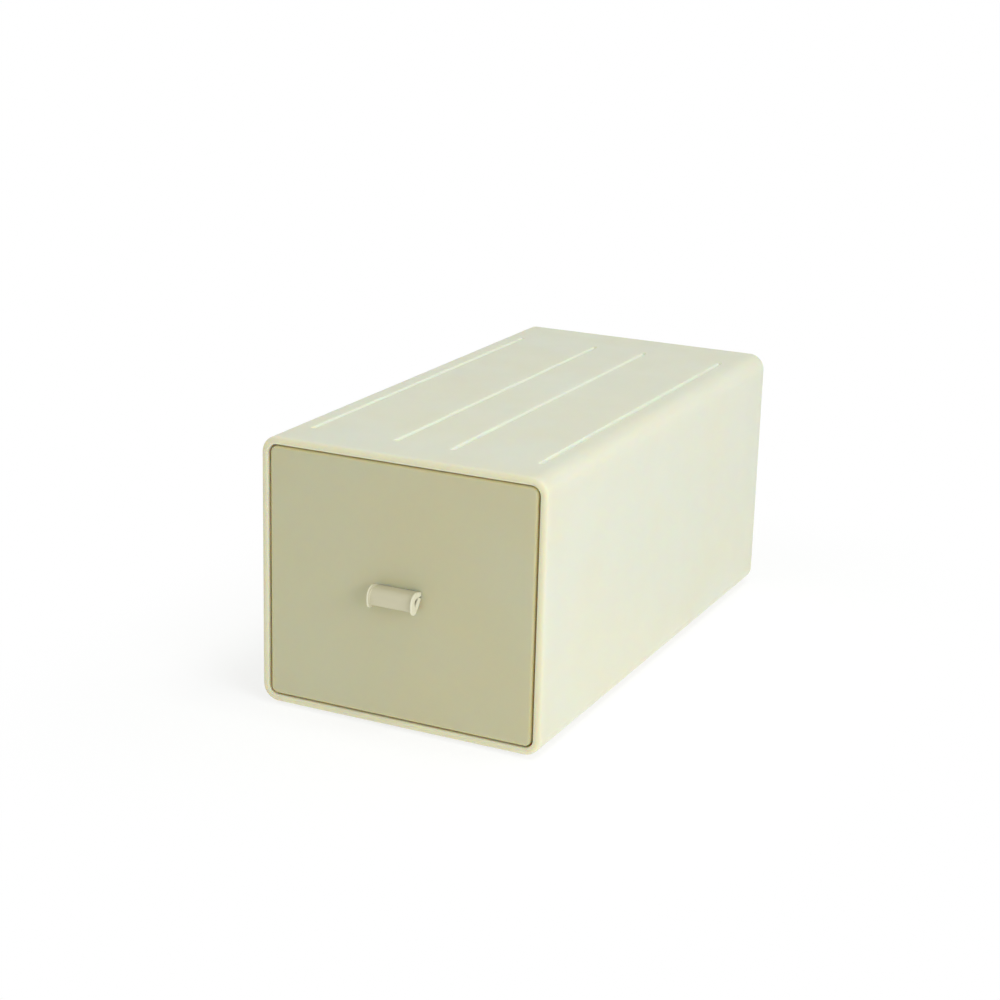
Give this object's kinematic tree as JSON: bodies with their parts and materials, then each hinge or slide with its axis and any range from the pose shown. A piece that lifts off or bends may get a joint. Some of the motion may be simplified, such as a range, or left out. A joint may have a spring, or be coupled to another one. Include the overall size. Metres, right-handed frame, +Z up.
{
  "type": "drawer storage box",
  "caption": "Stackable drawer box: rounded sleeve with grooves in the top and ribs under the base, and a flush drawer with a small curled pull.",
  "frame": {"origin": "under the middle of the closed box and its pull, on the plane that the base ribs stand on", "axes": "+Z up, -Y out of the drawer's mouth, +X to the right of someone who faces the drawer"},
  "size_m": [0.1048, 0.2117, 0.095],
  "materials": {
    "case_plastic": "cream, fine satin moulding texture",
    "drawer_plastic": "cream, fine satin moulding texture",
    "pull_plastic": "cream, smooth satin"
  },
  "bodies": {
    "case": {"case_sleeve": "case_plastic", "rear_panel": "case_plastic"},
    "drawer": {"drawer_tray": "drawer_plastic", "drawer_front": "drawer_plastic", "pull_handle": "pull_plastic"}
  },
  "joints": [
    {"name": "drawer_slide", "type": "slide", "parent": "case", "child": "drawer", "axis": [0, -1, 0], "range_m": [0, 0.16]}
  ]
}
